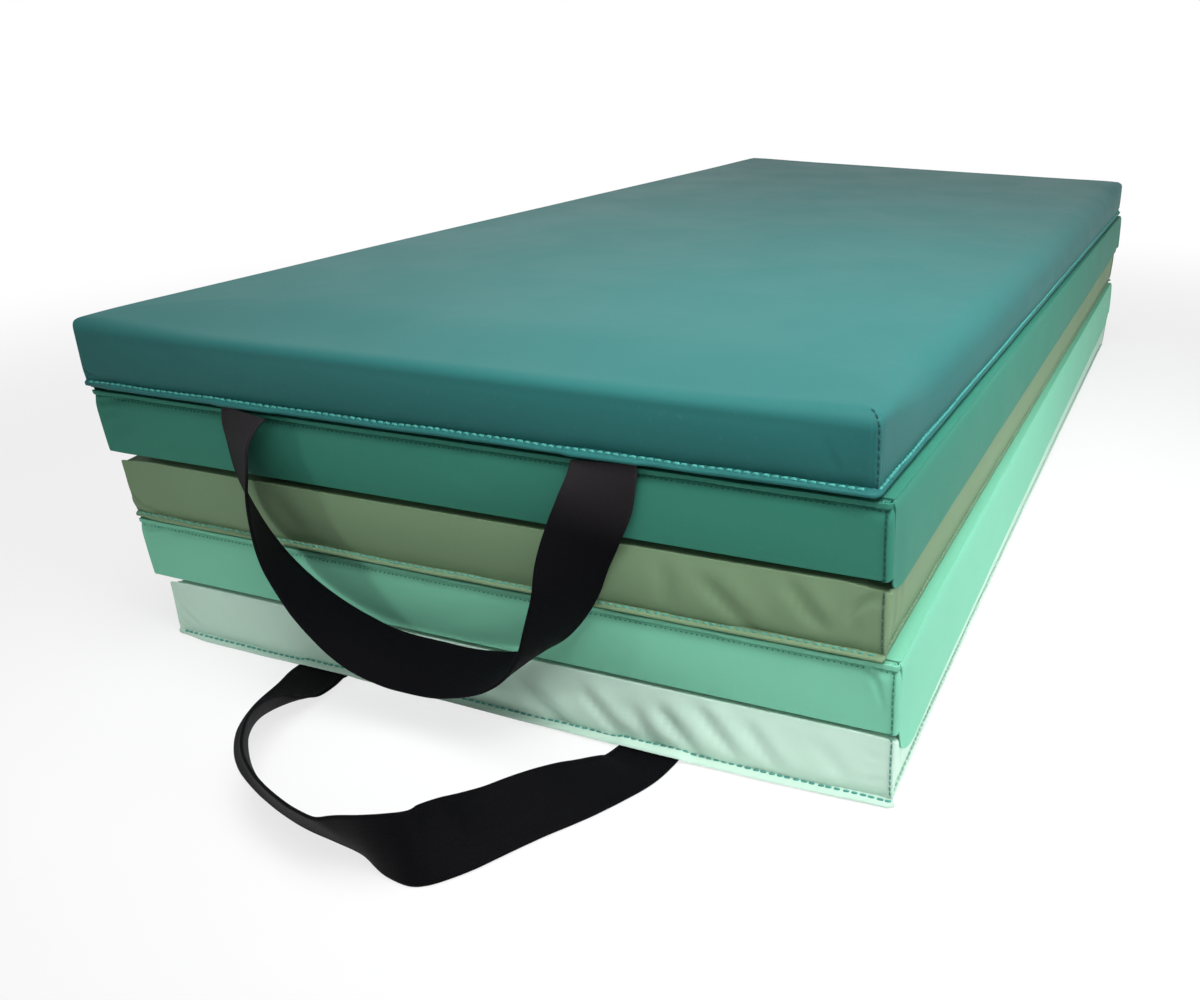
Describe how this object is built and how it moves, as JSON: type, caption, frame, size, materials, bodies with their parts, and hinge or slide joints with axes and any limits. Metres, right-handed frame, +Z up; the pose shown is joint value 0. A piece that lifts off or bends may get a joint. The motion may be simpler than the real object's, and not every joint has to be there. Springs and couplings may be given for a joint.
{
  "type": "folding gymnastics mat",
  "caption": "Accordion-fold gymnastics mat of soft vinyl-covered panels in teal to mint, folded into a block, with black webbing carry handles on one end.",
  "frame": {"origin": "on the floor, at the middle of the bounding box's bottom face", "axes": "+Y along the panels, away from the end with the handles; +X to the right as seen from that end; +Z up"},
  "size_m": [0.6206, 1.3758, 0.2497],
  "materials": {
    "foam": "closed-cell polyethylene foam, matte",
    "vinyl_dark_teal": "dark teal vinyl-coated fabric, satin",
    "vinyl_green": "green vinyl-coated fabric, satin",
    "vinyl_sage": "sage vinyl-coated fabric, satin",
    "vinyl_mint": "mint vinyl-coated fabric, satin",
    "vinyl_pale_mint": "pale mint vinyl-coated fabric, satin",
    "webbing": "black woven webbing"
  },
  "bodies": {
    "panel_5": {"panel_5_foam_core": "foam", "panel_5_cover": "vinyl_pale_mint", "panel_5_base_sheet": "vinyl_pale_mint", "panel_5_seam_binding": "vinyl_pale_mint", "hinge_4_5_flap_5": "vinyl_pale_mint"},
    "panel_4": {"panel_4_foam_core": "foam", "panel_4_cover": "vinyl_mint", "panel_4_base_sheet": "vinyl_mint", "panel_4_seam_binding": "vinyl_mint", "hinge_3_4_flap_4": "vinyl_mint", "hinge_4_5_flap_4": "vinyl_mint"},
    "panel_3": {"panel_3_foam_core": "foam", "panel_3_cover": "vinyl_sage", "panel_3_base_sheet": "vinyl_sage", "panel_3_seam_binding": "vinyl_sage", "hinge_2_3_flap_3": "vinyl_sage", "hinge_3_4_flap_3": "vinyl_sage"},
    "panel_2": {"panel_2_foam_core": "foam", "panel_2_cover": "vinyl_green", "panel_2_base_sheet": "vinyl_green", "panel_2_seam_binding": "vinyl_green", "hinge_1_2_flap_2": "vinyl_green", "hinge_2_3_flap_2": "vinyl_green"},
    "panel_1": {"panel_1_foam_core": "foam", "panel_1_cover": "vinyl_dark_teal", "panel_1_base_sheet": "vinyl_dark_teal", "panel_1_seam_binding": "vinyl_dark_teal", "hinge_1_2_flap_1": "vinyl_dark_teal"},
    "handle_upper": {"carry_handle_upper": "webbing"},
    "handle_lower": {"carry_handle_lower": "webbing"}
  },
  "joints": [
    {"name": "fold_4_5", "type": "hinge", "parent": "panel_5", "child": "panel_4", "pos_m": [0.31046, 0.08343, 0.04985], "axis": [0, 1, 0], "range_deg": [0, 180]},
    {"name": "fold_3_4", "type": "hinge", "parent": "panel_4", "child": "panel_3", "pos_m": [-0.30144, 0.08343, 0.09985], "axis": [0, -1, 0], "range_deg": [0, 180]},
    {"name": "fold_2_3", "type": "hinge", "parent": "panel_3", "child": "panel_2", "pos_m": [0.30296, 0.08343, 0.14985], "axis": [0, 1, 0], "range_deg": [0, 180]},
    {"name": "fold_1_2", "type": "hinge", "parent": "panel_2", "child": "panel_1", "pos_m": [-0.31044, 0.08343, 0.19985], "axis": [0, -1, 0], "range_deg": [0, 180]},
    {"name": "handle_upper_swing", "type": "hinge", "parent": "panel_1", "child": "handle_upper", "pos_m": [-0.01399, -0.52247, 0.2], "axis": [-1, 0, 0], "range_deg": [0, 140]},
    {"name": "handle_lower_swing", "type": "hinge", "parent": "panel_5", "child": "handle_lower", "pos_m": [0.00251, -0.52147, 0.0012], "axis": [-1, 0, 0], "range_deg": [0, 30]}
  ]
}
